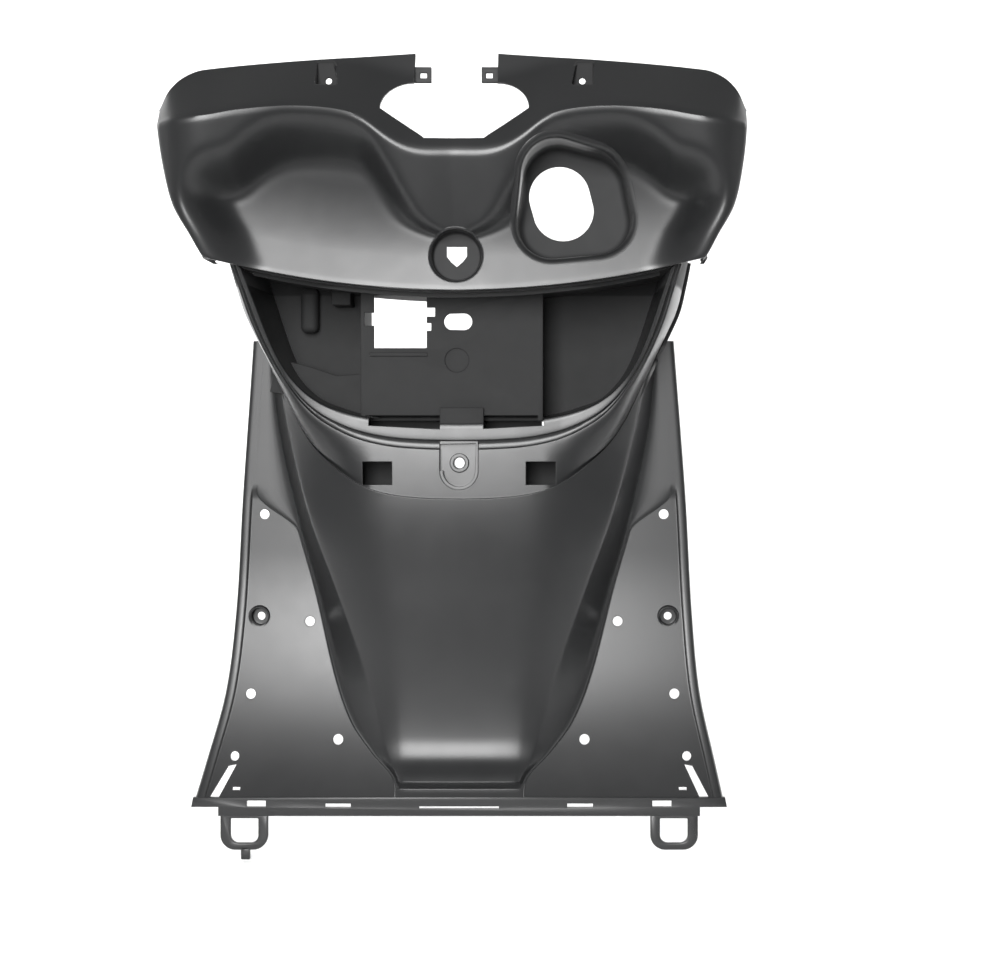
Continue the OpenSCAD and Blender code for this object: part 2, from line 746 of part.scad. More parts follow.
module peg_holes() {
    both_sides() {
        hole_at(162, 232, peg_hole_d);
        hole_at(124.5, 145.5, peg_hole_d);
        hole_at(169.5, 89, peg_hole_d);
        hole_at(97.5, 55, peg_hole_d);
        hole_at(178, 43, peg_hole_d - 1);
    }
}

// The leg screws' bosses start inside the skin, and their seats lie behind the leg panels
leg_boss_out = leg_out(leg_screw_z) - mat_depth - 0.6 * wall;
leg_seat_sink = 6;
module console_panel() {
    $fn = 64;
    color([0.12, 0.12, 0.12])
        translate([0, seat_out + 2, -centre_screw_z])
            difference() {
                union() {
                    resize([0, 0, 0]) skin($fn = 24);
                    both_sides()
                        translate([leg_screw_span / 2, -leg_boss_out, leg_screw_z])
                            rotate([-90, 0, 0])
                                cylinder(h = leg_boss_out + leg_seat_sink + 3, d = leg_seat_d + 2 * wall);
                }
                peg_holes();
                both_sides() {
                    hole_at(leg_screw_span / 2, leg_screw_z, leg_screw_d);
                    translate([leg_screw_span / 2, 0, leg_screw_z])
                        rotate([90, 0, 0])
                            translate([0, 0, -leg_seat_sink]) cylinder(h = 40, d = leg_seat_d);
                    hole_at(95.5, cowl_top_z - 25, 5);
                }
                hole_at(0, centre_screw_z, centre_screw_d);
            }
}

console_panel();
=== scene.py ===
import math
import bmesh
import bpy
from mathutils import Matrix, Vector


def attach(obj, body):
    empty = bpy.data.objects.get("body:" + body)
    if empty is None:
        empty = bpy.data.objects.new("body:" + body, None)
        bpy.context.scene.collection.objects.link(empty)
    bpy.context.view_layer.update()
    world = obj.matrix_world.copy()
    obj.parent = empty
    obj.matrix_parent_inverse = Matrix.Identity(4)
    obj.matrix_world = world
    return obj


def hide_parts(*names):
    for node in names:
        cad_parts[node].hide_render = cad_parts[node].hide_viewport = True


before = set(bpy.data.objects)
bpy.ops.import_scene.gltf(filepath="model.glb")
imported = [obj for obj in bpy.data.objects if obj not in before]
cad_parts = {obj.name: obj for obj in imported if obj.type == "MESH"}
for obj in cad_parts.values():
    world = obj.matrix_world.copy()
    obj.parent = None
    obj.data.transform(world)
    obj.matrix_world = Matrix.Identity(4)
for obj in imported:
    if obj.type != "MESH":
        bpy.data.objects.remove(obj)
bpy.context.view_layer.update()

# %% [markdown]
# # The inner console panel of a scooter
# One black plastic moulding: a leg shield with a raised tunnel, a glove box pod above it, and a
# winged cowl round the steering column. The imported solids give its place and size. Each moulded
# surface is made here again from a fine grid, because soft reflections show every facet.

# %% [markdown]
# ## Measures
# Every point is written as x across, "out" towards the rider and z above the foot flange, in
# millimetres, as a draughtsman would dimension the panel. The part's own origin is the seat of
# its centre screw, so one short function moves a point there and turns it into metres.

# %% Named sizes, in millimetres
wall = 2.6
foot_w, leg_mid_w, leg_top_w, leg_h, foot_h = 416, 362, 340, 372, 14.5
toe_out, toe_start, edge_return = 60, 205, 8
tunnel_root_w, tunnel_foot_w, tunnel_flat_w = 300, 100, 138
tunnel_out, tunnel_waist_out, tunnel_end_z = 66, 47, 26
mat_depth, mat_rim, mat_slope, mat_tip_z, edge_round = 1.2, 8, 0.8, 252, 1.6
pod_half, mouth_half, pod_floor_z, mouth_floor_z = 179, 161, 246, 305
mouth_low_out, mouth_top_out, bay_out, block_out = 62, 97, 6, 56
cowl_half, cowl_top_z, ridge_low_z, ridge_high_z = 216.5, 587, 506, 536
ridge_mid_out, ridge_wing_out, lip_z, lip_out, wing_back_out = 121, 150, 404, 100, 70
column_half, gap_half, switch_out, seat_out = 55.5, 31.5, 68, 56
screw_z = 274


def place(x, out, z):
    """From millimetres across, out and up to metres round the centre screw's seat."""
    return Vector((x, seat_out + 2 - out, z - screw_z)) * 0.001


def mix(a, b, t):
    return a + (b - a) * t


def ease(t):
    t = max(0.0, min(1.0, t))
    return t * t * (3 - 2 * t)


def curve(table, x):
    """Smooth value at x between stations (position, value)."""
    i = 0
    while i < len(table) - 2 and x >= table[i + 1][0]:
        i += 1

    def rate(k):
        a, b = table[max(k - 1, 0)], table[min(k + 1, len(table) - 1)]
        return (b[1] - a[1]) / (b[0] - a[0])

    h = table[i + 1][0] - table[i][0]
    s = max(0.0, min(1.0, (x - table[i][0]) / h))
    return (table[i][1] * (2 * s**3 - 3 * s**2 + 1) + table[i + 1][1] * (3 * s**2 - 2 * s**3)
            + h * (rate(i) * (s**3 - 2 * s**2 + s) + rate(i + 1) * (s**3 - s**2)))


def softened(line, rounds=2, keep=0.25):
    """Cuts the corners of a line of points, as a sander does, and keeps its two ends."""
    for _ in range(rounds):
        cut = [line[0]]
        for a, b in zip(line, line[1:]):
            for share in (keep, 1 - keep):
                cut.append(tuple(mix(p, q, share) for p, q in zip(a, b)))
        line = cut + [line[-1]]
    return line


# %% [markdown]
# ## Helpers for sheets and cuts
# A moulded skin begins as a flat grid whose vertices are moved onto the surface. Solidify gives
# it the wall, and a Boolean with plain prisms cuts its openings, as the mould's cores do. Cutters of
# one Boolean stay clear of each other, because crossing cutters would not be one closed shape.

# %% Grids, walls and cutters
def sheet(rows, cols, point):
    """A grid whose vertices go where point(u, v) says, with u and v from 0 to 1."""
    bm = bmesh.new()
    bmesh.ops.create_grid(bm, x_segments=cols - 1, y_segments=rows - 1, size=1)
    for v in bm.verts:
        v.co = point((v.co.x + 1) / 2, (v.co.y + 1) / 2)
    return bm


def body_from(bm, name):
    mesh = bpy.data.meshes.new(name)
    bm.to_mesh(mesh)
    bm.free()
    piece = bpy.data.objects.new(name, mesh)
    bpy.context.scene.collection.objects.link(piece)
    return piece


def settle(piece):
    """Applies the modifiers of a piece to its mesh."""
    bpy.context.view_layer.update()
    done = bpy.data.meshes.new_from_object(piece.evaluated_get(bpy.context.evaluated_depsgraph_get()))
    piece.modifiers.clear()
    old, piece.data = piece.data, done
    bpy.data.meshes.remove(old)
    return piece


def thicken(piece, thickness=wall):
    """Gives a skin its wall on the far side of its face."""
    m = piece.modifiers.new("wall", "SOLIDIFY")
    m.thickness = thickness * 0.001
    m.offset = -1
    m.use_quality_normals = True
    return settle(piece)


def prism(outline, back, face, name="cut_prism"):
    """An outline in x and z, stretched between two stand-outs."""
    bm = bmesh.new()
    rim = [bm.verts.new(place(x, back, z)) for x, z in outline]
    base = bm.faces.new(rim)
    made = bmesh.ops.extrude_face_region(bm, geom=[base])
    tops = [v for v in made["geom"] if isinstance(v, bmesh.types.BMVert)]
    bmesh.ops.translate(bm, verts=tops, vec=Vector((0, -(face - back), 0)) * 0.001)
    bmesh.ops.recalc_face_normals(bm, faces=bm.faces)
    return body_from(bm, name)


def joined(pieces, name):
    """One piece from several, which are removed."""
    bm = bmesh.new()
    for p in pieces:
        bm.from_mesh(p.data)
        bpy.data.objects.remove(p)
    return body_from(bm, name)


def carve(piece, cutters):
    """Takes all the cutters out of a piece with one Boolean."""
    tool = joined(cutters, "cut_tool")
    m = piece.modifiers.new("carve", "BOOLEAN")
    m.operation, m.solver, m.object = "DIFFERENCE", "MANIFOLD", tool
    settle(piece)
    bpy.data.objects.remove(tool)
    return piece


def circle(x, z, r, steps=40):
    turns = [2 * math.pi * k / steps for k in range(steps)]
    return [(x + r * math.cos(a), z + r * math.sin(a)) for a in turns]


def mirrored(outline):
    return [(-x, z) for x, z in reversed(outline)]


def both(outline):
    return [outline, mirrored(outline)]


def rectangle(x0, z0, x1, z1):
    return [(x0, z0), (x1, z0), (x1, z1), (x0, z1)]


def smooth_shade(piece, angle=32):
    mesh = piece.data
    mesh.shade_smooth()
    mesh.set_sharp_from_angle(angle=math.radians(angle))


# %% [markdown]
# ## The leg shield
# Every section across the panel runs from the crown of the tunnel down its flank, over the sunk
# place for the rubber mat and round the turned-back edge. One half is written as a line of
# points, its corners are softened, and the other half mirrors it.

# %% Sections of the leg shield
# Each table runs upwards, and its stations are (height, half width) or (height, stand-out).
low_side, high_side, mid_side = tunnel_foot_w / 2, tunnel_root_w / 2, tunnel_flat_w / 2
leg_half = [(0, foot_w / 2), (40, foot_w / 2 - 8), (90, leg_mid_w / 2 + 9), (150, leg_mid_w / 2 + 4),
            (245, leg_mid_w / 2 - 1), (leg_h, leg_top_w / 2)]
root_half = [(0, low_side), (tunnel_end_z, low_side), (45, low_side + 18), (68, low_side + 36),
             (104, low_side + 51), (172, high_side - 31), (233, high_side - 14),
             (306, high_side + 1), (leg_h, high_side + 6)]
ridge_half = [(0, low_side - 3), (tunnel_end_z, low_side - 3), (45, low_side + 6),
              (104, low_side + 22), (172, high_side - 54), (233, high_side - 32),
              (306, high_side - 12), (leg_h, high_side + 2)]
flat_half = [(0, low_side - 8), (tunnel_end_z, low_side - 7), (104, mid_side - 20),
             (pod_floor_z, mid_side), (leg_h, mid_side + 8)]
crown_out = [(0, toe_out + 6), (tunnel_end_z, toe_out + 3), (42, tunnel_waist_out + 4),
             (58, tunnel_waist_out), (104, tunnel_waist_out + 1.5),
             (172, mix(tunnel_waist_out, tunnel_out, 0.5)), (pod_floor_z, tunnel_out),
             (leg_h, tunnel_out + 6)]
ridge_share = [(0, 0.74), (200, 0.74), (pod_floor_z, 0.66), (mouth_floor_z, 0.42), (leg_h, 0.16)]


def leg_out(z):
    """Stand-out of the leg panels, which sweep forwards at the toe and a little at the top."""
    if z < toe_start:
        return toe_out * ((toe_start - z) / (toe_start - foot_h)) ** 2.2
    return 8 * ((z - toe_start) / (leg_h - toe_start)) ** 2


def leg_section(z, sunk=True):
    """Half a section at height z: crown, flank of the tunnel, place of the mat, turned edge."""
    plane = leg_out(z)
    flat, ridge, root = (curve(table, z) for table in (flat_half, ridge_half, root_half))
    rise = ease((z - tunnel_end_z + 5) / 5) * (curve(crown_out, z) - plane)
    edge = curve(leg_half, z)
    outer = edge - mat_rim
    inner = mix(root + 2, outer - 3, ease((z - mat_tip_z + 34) / 34))
    floor = plane - (mat_depth * ease((mat_tip_z - z) / 4) if sunk else 0)
    ridge_rise = rise * curve(ridge_share, z)
    return [(0, plane + rise), (flat * 0.5, plane + rise * 0.994), (flat, plane + rise * 0.975),
            (mix(flat, ridge, 0.55), plane + mix(rise * 0.975, ridge_rise, 0.44)),
            (ridge, plane + ridge_rise), (mix(ridge, root, 0.12), plane + ridge_rise * 0.9),
            (mix(ridge, root, 0.72), plane + ridge_rise * 0.24),
            (mix(ridge, root, 0.88), plane + ridge_rise * 0.07),
            (root, plane), (inner - mat_slope, plane), (inner, floor), (inner + 1.5, floor),
            (mix(inner, outer, 0.5), floor), (outer - 1.5, floor), (outer, floor),
            (outer + mat_slope, plane),
            (edge - edge_round, plane), (edge, plane - edge_round), (edge, plane - edge_return)]


def leg_point(u, v):
    z = mix(foot_h - 1, leg_h, v)
    line = leg_lines.setdefault(round(z, 4), softened(leg_section(z), 2))
    k = round(abs(2 * u - 1) * (len(line) - 1))
    x, out = line[k]
    return place(math.copysign(x, u - 0.5), out, z)


leg_lines = {}
leg_rows, leg_cols = 110, 2 * len(softened(leg_section(100), 2)) - 1
leg_shield = thicken(body_from(sheet(leg_rows, leg_cols, leg_point), "leg_shield"))
print("leg shield:", len(leg_shield.data.polygons), "faces")

# %% [markdown]
# ## The pod of the glove box
# Two outlines, one where the pod meets the leg shield and one round its mouth, are joined by a
# section that bulges out, runs over a fine groove at the rim and turns back into the box.

# %% Sections of the pod
# Both outlines have the same number of stations, (x, height over the floor), from the middle out.
pod_outline = [(0, 0), (26, 0.6), (50, 3), (68, 7.5), (84, 15), (100, 27), (116, 42),
               (129, 61), (139, 81), (150, 103), (161, 126), (pod_half - 8, 148),
               (pod_half - 3, 168), (pod_half + 1, 188)]
mouth_outline = [(0, 0), (24, 0.4), (46, 1.4), (64, 3.5), (80, 6.5), (94, 10.5), (106, 15.5),
                 (117, 22.5), (126, 31), (133, 40), (140, 53), (mouth_half - 14, 71),
                 (mouth_half - 7, 92), (mouth_half + 1, 116)]
# Stations across the wall are shares of the way from the pod's foot to its mouth. The rim begins
# at rim_share, and its groove and lip are small lifts from there.
band_shares, rim_share = (0.02, 0.05, 0.1, 0.17, 0.26, 0.37, 0.5), 0.62
rim_profile = [(rim_share, 0), (0.655, 0), (0.66, -2.2), (0.76, -2.4), (0.765, 0.2), (0.8, 0.4),
               (0.9, 0.4), (0.98, 0.4)]


def along(outline, t, floor):
    """The point at station t of an outline, which need not be a whole number."""
    return (curve([(i, p[0]) for i, p in enumerate(outline)], t),
            floor + curve([(i, p[1]) for i, p in enumerate(outline)], t))


def leg_surface(x, z):
    """Stand-out of the leg shield at x and z, where the pod is set down on it."""
    line = leg_section(z, sunk=False)
    for a, b in zip(line, line[1:]):
        if x <= b[0]:
            return mix(a[1], b[1], (x - a[0]) / max(b[0] - a[0], 1e-6))
    return line[-3][1]


def mouth_stand(z):
    """Stand-out of the mouth's rim, which leans forwards towards its top."""
    t = max(0.0, min(1.0, (z - mouth_floor_z - 6) / (lip_z - mouth_floor_z + 10)))
    return mouth_low_out + (mouth_top_out - mouth_low_out) * t**1.15


def pod_section(t):
    ox, oz = along(pod_outline, t, pod_floor_z)
    mx, mz = along(mouth_outline, t, mouth_floor_z)
    length = math.hypot(mx - ox, mz - oz)
    dx, dz = (mx - ox) / length, (mz - oz) / length
    foot = mix(leg_surface(ox, min(oz, leg_h)) - wall / 2, 12, ease((oz - leg_h + 14) / 12))
    high = mouth_stand(mz)
    low = min(foot + wall / 2 - 4, high - 1)
    line = [(ox - 1.2 * dx, foot, oz - 1.2 * dz), (ox, min(foot, low), oz)]
    for s in band_shares:
        bowed, plain = math.sqrt(1 - (1 - s / rim_share) ** 2), 1 - (1 - s / rim_share) ** 1.35
        rise = mix(plain, bowed, ease((t - 4) / 3))
        line.append((mix(ox, mx, s), low + (high - low) * rise, mix(oz, mz, s)))
    for s, lift in rim_profile:
        line.append((mix(ox, mx, s), high + lift, mix(oz, mz, s)))
    for d in (0.04, 0.12, 0.5, 1):
        inside = mix(high, bay_out - wall / 2, d)
        line.append((mx * (1 - 0.03 * d), inside, mz + 2.5 * d * ease((7 - t) / 2)))
    return line


pod_lines = {}


def pod_point(u, v):
    """u runs across the wall from its foot to the box, v along the rim from right to left."""
    side = 1 - 2 * v
    t = abs(side) * (len(pod_outline) - 1)
    line = pod_lines.setdefault(round(t, 4), softened(pod_section(t), 1, 0.3))
    x, out, z = line[round(u * (len(line) - 1))]
    return place(math.copysign(x, side) if side else 0.0, out, z)


pod_rows, pod_cols = 181, len(softened(pod_section(5), 1))
pod = thicken(body_from(sheet(pod_rows, pod_cols, pod_point), "glove_box_pod"))
print("pod:", len(pod.data.polygons), "faces")

# %% [markdown]
# ## The cowl
# The cowl's face is a height field over x and z. Under the ridge it falls back into a dish, and
# the flank of the steering column bulges into that dish. Rows of the grid follow the ridge, so
# that it stays one clean line, and a few passes of smoothing round it.

# %% Shape of the cowl
top_edge = [(0, cowl_top_z), (gap_half, cowl_top_z - 1), (104, cowl_top_z - 8),
            (cowl_half - 30, cowl_top_z - 19), (cowl_half - 16, cowl_top_z - 26),
            (cowl_half - 6, cowl_top_z - 38), (cowl_half, cowl_top_z - 53)]
wing_half = [(lip_z + 16, pod_half + 3), (lip_z + 26, pod_half + 10), (lip_z + 40, cowl_half - 20),
             (lip_z + 62, cowl_half - 8), (lip_z + 92, cowl_half - 2), (lip_z + 120, cowl_half),
             (cowl_top_z, cowl_half)]
ridge_line = [(0, ridge_low_z), (24, ridge_low_z), (39, mix(ridge_low_z, ridge_high_z, 0.13)),
              (53, mix(ridge_low_z, ridge_high_z, 0.42)), (68, mix(ridge_low_z, ridge_high_z, 0.8)),
              (86, ridge_high_z - 1), (118, ridge_high_z), (154, ridge_high_z - 4),
              (178, ridge_high_z - 9), (cowl_half, ridge_high_z - 14)]
ridge_stand = [(0, ridge_mid_out), (55, ridge_mid_out + 5),
               (110, mix(ridge_mid_out, ridge_wing_out, 0.55)), (cowl_half - 38, ridge_wing_out),
               (cowl_half - 16, ridge_wing_out - 2), (cowl_half, ridge_wing_out - 12)]
top_stand = [(0, ridge_mid_out - 37), (60, ridge_mid_out - 34), (110, ridge_mid_out - 24),
             (cowl_half - 28, ridge_wing_out - 38), (cowl_half, ridge_wing_out - 22)]
bulge_half = [(lip_z + 36, -32), (lip_z + 46, 8), (lip_z + 66, 30), (ridge_low_z, 46),
              (cowl_top_z, 52)]
wall_run, wing_run, bulge_run, lip_rise, corner_drop = 42, 40, 26, 18, 18
bulge_cols, wing_cols, side_cols, lip_rows, face_rows, strip_rows = 14, 46, 7, 5, 48, 16
cowl_cols = bulge_cols + wing_cols


def lip_height(x):
    """Height of the cowl's lower edge, which rises towards both sides."""
    return lip_z + lip_rise * (x / mouth_half) ** 2


def dish(x, z, ridge):
    """1 on the floor of the dish, 0 at the ridge, the wing's edge and the column's bulge."""
    corner = corner_drop * max(0.0, min(1.0, (x - 118) / 44)) ** 2
    up = 1 - max(0.0, min(1.0, (ridge - corner - z) / wall_run))
    wing = 1 - max(0.0, min(1.0, (curve(wing_half, z) - 4 - x) / wing_run))
    bulge = 1 - max(0.0, min(1.0, (x - curve(bulge_half, z)) / bulge_run))
    return ease(1 - math.hypot(up, wing)) * ease(1 - math.hypot(up * 0.6, bulge))


def cowl_stand(x, z):
    """Stand-out of the cowl's face, before its grid is smoothed."""
    x = abs(x)
    ridge, stand = curve(ridge_line, x), curve(ridge_stand, x)
    over = z - ridge
    if over > 0:
        return mix(stand, curve(top_stand, x), over / (curve(top_edge, x) - ridge))
    under = stand + over * 0.36
    shelf = lip_out - 0.16 * (z - lip_height(x))
    return mix(under, shelf, dish(x, z, ridge))


def cowl_column(k, z):
    """Place across of the grid's column k, so that columns follow the bulge and the wing."""
    middle = max(14, curve(bulge_half, z) + bulge_run / 2)
    if k < bulge_cols:
        return middle * k / bulge_cols
    return mix(middle, curve(wing_half, z), 1 - (1 - (k - bulge_cols) / wing_cols) ** 1.3)


def cowl_point(u, v):
    k = round((2 * u - 1) * (cowl_cols + side_cols))
    r = round(v * (lip_rows + face_rows + strip_rows)) - lip_rows
    side, col = max(0, abs(k) - cowl_cols), min(abs(k), cowl_cols)
    x0 = cowl_column(col, ridge_high_z)
    lip, ridge = lip_height(cowl_column(col, lip_z + 12)), curve(ridge_line, x0)
    if r < face_rows:
        z = mix(lip, ridge, max(r, 0) / face_rows)
    else:
        z = mix(ridge, curve(top_edge, x0), (r - face_rows) / strip_rows)
    x = cowl_column(col, z)
    face = cowl_stand(x, z)
    out = mix(face, min(face, wing_back_out), (side / side_cols) ** 1.5)
    if r < 0:
        out, z = out - 12 * (-r / lip_rows) ** 1.4, z + 2 * (-r / lip_rows)
    return place(math.copysign(x, k) if k else 0.0, out, z)


bm = sheet(lip_rows + face_rows + strip_rows + 1, 2 * (cowl_cols + side_cols) + 1, cowl_point)
inner = [v for v in bm.verts if not v.is_boundary]
for _ in range(3):
    bmesh.ops.smooth_vert(bm, verts=inner, factor=0.5,
                          use_axis_x=True, use_axis_y=True, use_axis_z=True)
cowl = thicken(body_from(bm, "cowl"))
print("cowl:", len(cowl.data.polygons), "faces")

# %% [markdown]
# ## Openings
# The steering column's cut-out, the slots and all screw holes go straight through the wall along
# the line of the mould. So each is a prism or a cylinder, and one Boolean for each skin takes them.

# %% Outlines of the openings
waist, shoulder, shoulder_h = ridge_low_z + 33, column_half - gap_half, 22
column = [(column_half * 0.4, ridge_low_z + 10), (column_half * 0.47, ridge_low_z + 13)]
for degrees in range(0, 91, 6):
    turn = math.radians(degrees)
    column.append((column_half - shoulder * (1 - math.cos(turn)), waist + shoulder_h * math.sin(turn)))
column += [(gap_half, cowl_top_z + 20)]
column = column + mirrored(column)


def rounded_outline(corners, r, steps=10):
    """Walks clockwise round a convex outline at a distance r, with arcs at its corners."""
    line = []
    n = len(corners)
    for i, (x, z) in enumerate(corners):
        ax, az = corners[i - 1]
        bx, bz = corners[(i + 1) % n]
        a0 = math.atan2(x - ax, az - z)
        a1 = math.atan2(bx - x, z - bz)
        while a1 > a0:
            a1 -= 2 * math.pi
        for s in range(steps + 1):
            a = mix(a0, a1, s / steps)
            line.append((x + r * math.cos(a), z + r * math.sin(a)))
    return line


cut_back, cut_front = -40, 200
peg_r, small_peg_r, leg_screw_x, leg_screw_z = 4, 3.5, 165.5, 149
leg_holes = [(162, 232, peg_r), (124.5, 145.5, peg_r), (169.5, 89, peg_r), (97.5, 55, peg_r),
             (178, 43, small_peg_r), (leg_screw_x, leg_screw_z, 7)]
toe_slot, toe_notch = [(176, 37), (182, 36), (194, 14), (188, 12)], rectangle(171, 19, 177, 21.2)
outlines = [o for x, z, r in leg_holes for o in both(circle(x, z, r, 32))]
outlines += both(toe_slot) + both(toe_notch)
cuts = [prism(o, cut_back, cut_front) for o in outlines]
stations = range(0, 4 * (len(pod_outline) - 1) + 1)
pod_shadow = [along(pod_outline, t / 4, pod_floor_z) for t in stations]
cuts += [prism(pod_shadow + mirrored(pod_shadow)[:-1], cut_back - 20, cut_front)]
carve(leg_shield, cuts)
print("leg shield after its cuts:", len(leg_shield.data.polygons), "faces")

# %% Cut-outs of the pod
seat_r, seat_low_z = 15, screw_z - 6
seat_turns = [math.radians(a) for a in range(180, 361, 10)]
seat = [(seat_r * math.cos(a), seat_low_z + seat_r * math.sin(a)) for a in seat_turns]
seat += [(seat_r, screw_z + 17), (-seat_r, screw_z + 17)]
lid_slots = [[(-70, 303), (-15, 300.2), (-14.7, 306.5), (-69.7, 309.4)],
             [(19, 300.6), (66, 303), (65.7, 309.4), (18.7, 307)]]
hinge_pocket = rectangle(52, pod_floor_z + 11, 75, pod_floor_z + 29)
cuts = [prism(o, 20, cut_front) for o in lid_slots + both(hinge_pocket)]
cuts += [prism(seat, seat_out, cut_front)]
carve(pod, cuts)
print("pod after its cuts:", len(pod.data.polygons), "faces")

# %% [markdown]
# ## Sunk places of the cowl
# The switch recess, the hook's seat and the screw pockets are sunk into the cowl with a rounded
# rim. Each is lofted ring by ring: a ring starts just under the cowl's face, rolls over the rim,
# goes down the wall and ends on the floor, where a fillet carries it inwards.

# %% Rings from the face to the floor
from mathutils.bvhtree import BVHTree

depsgraph = bpy.context.evaluated_depsgraph_get()
face_tree = BVHTree.FromObject(cowl, depsgraph)


def face_stand(x, z):
    """How far the cowl's finished face stands out at x and z."""
    hit = face_tree.ray_cast(place(x, 300, z), Vector((0, 1, 0)))[0]
    return seat_out + 2 - hit.y * 1000 if hit else cowl_stand(x, z)


def sunk(name, corners, r, floor, roll=2.6, fillet=3.0, draft=0.8, steps=12):
    """A recess with rounded rim and fillet; its outline keeps a distance r from the corners."""
    outer = rounded_outline(corners, r + roll + 0.8, steps)
    stands = [face_stand(x, z) for x, z in rounded_outline(corners, r + roll, steps)]
    # A ring is (distance, stand-out, 1 from the face or 0 from the floor), with angles in radians.
    rings = [(r + roll + 0.8, -0.6, 1), (r + roll, 0.03, 1)]
    for a in (0.3, 0.6, 0.9, 1.2, 1.45):
        rings.append((r + roll * (1 - math.sin(a)), -roll * (1 - math.cos(a)), 1))
    rings.append((r - draft * 0.2, -roll * 1.3, 1))
    for a in (0.1, 0.4, 0.8, 1.2, 1.57):
        rings.append((r - draft - fillet * (1 - math.cos(a)), fillet * (1 - math.sin(a)), 0))
    bm = bmesh.new()
    bmesh.ops.create_circle(bm, segments=len(outer), radius=1)
    bm.verts.ensure_lookup_table()
    loop = sorted(bm.verts, key=lambda v: math.atan2(v.co.y, v.co.x))
    edges = list(bm.edges)
    for n, (radius, stand, on_face) in enumerate(rings):
        if n:
            made = bmesh.ops.extrude_edge_only(bm, edges=edges)["geom"]
            fresh = {}
            for v in made:
                if isinstance(v, bmesh.types.BMVert):
                    twin = next(e.other_vert(v) for e in v.link_edges if e.other_vert(v) in loop)
                    fresh[twin] = v
            loop = [fresh[v] for v in loop]
            edges = [e for e in made
                     if isinstance(e, bmesh.types.BMEdge) and all(v in loop for v in e.verts)]
        for v, (x, z), s in zip(loop, rounded_outline(corners, radius, steps), stands):
            v.co = place(x, s + stand if on_face else floor + stand, z)
    bmesh.ops.contextual_create(bm, geom=edges)
    bmesh.ops.recalc_face_normals(bm, faces=bm.faces)
    floor_face = max(bm.faces, key=lambda f: len(f.verts))
    if floor_face.normal.y > 0:
        bmesh.ops.reverse_faces(bm, faces=bm.faces)
    return thicken(body_from(bm, name))


switch_corners = [(77, 489), (101, 483), (106, 459), (73, 456)]
switch_recess = sunk("switch_recess", switch_corners, 27, switch_out, roll=5.5, fillet=5)
# The hook's seat is round: its corners lie close round its centre.
hook_corners = [(x * 0.5, lip_z + 27 + z * 0.5) for x, z in ((-1, 1), (1, 1), (1, -1), (-1, -1))]
hook_seat = sunk("hook_seat", hook_corners, 18.5, lip_out - 15, roll=2.2, fillet=1.5, steps=14)
pocket_low_z, pocket_top_z = cowl_top_z - 29, cowl_top_z - 13
pocket_corners = [(89.5, pocket_low_z), (93, pocket_top_z), (102, pocket_top_z), (102, pocket_low_z)]
pockets = []
for side, name in ((1, "screw_pocket_right"), (-1, "screw_pocket_left")):
    corners = [(side * x, z) for x, z in pocket_corners][::side]
    pockets.append(sunk(name, corners, 1.8, 100, roll=0.8, fillet=0.6, draft=0.2, steps=3))
print("recesses:", [len(p.data.polygons) for p in [switch_recess, hook_seat] + pockets], "faces")

# %% Openings of the cowl
# Each cut is a little smaller than the outer ring of its recess, which covers the cut's edge.
cuts = [prism(column, 0, cut_front), prism(rounded_outline(switch_corners, 31.4, 12), 78, 220),
        prism(rounded_outline(hook_corners, 20.2, 14), 80, 220)]
for side in (1, -1):
    corners = [(side * x, z) for x, z in pocket_corners][::side]
    cuts.append(prism(rounded_outline(corners, 2.2, 3), 90, 220))
carve(cowl, cuts)

switch_x, switch_z, switch_r, switch_rise, lean = 79.5, 474, 23.5, 5.5, math.radians(15)
switch_hole = []
for k in range(48):
    a = 2 * math.pi * k / 48
    x, z = switch_r * math.cos(a), switch_r * math.sin(a) + math.copysign(switch_rise, math.sin(a))
    switch_hole.append((switch_x + x * math.cos(lean) - z * math.sin(lean),
                        switch_z + x * math.sin(lean) + z * math.cos(lean)))
carve(switch_recess, [prism(switch_hole, 50, 80)])
hook_key = [(-7.7, 439), (7.7, 439), (7.7, 431.5), (4.2, 427), (0, 423.5), (-4.2, 427), (-7.7, 431.5)]
carve(hook_seat, [prism(hook_key, 70, 100)])
cowl_screw_x, cowl_screw_z, cowl_screw_r = 95.5, cowl_top_z - 25, 2.5
for piece, side in zip(pockets, (1, -1)):
    carve(piece, [prism(circle(side * cowl_screw_x, cowl_screw_z, cowl_screw_r, 24), 90, 110)])
print("cowl after its cuts:", len(cowl.data.polygons), "faces")

# %% [markdown]
# ## Inside the glove box
# Behind the mouth lie two bays and a centre block with a window for the wiring. They are plain
# moulded boxes, so prisms with a small bevel on each edge make them. The window, its notches, the
# latch hole and the step at the foot are cut from the block one after another, as they overlap.

# %% Bays, centre block and roof
def edged(piece, width=0.8, segments=2, angle=35):
    m = piece.modifiers.new("edge", "BEVEL")
    m.width, m.segments = width * 0.001, segments
    m.limit_method, m.angle_limit = "ANGLE", math.radians(angle)
    return settle(piece)


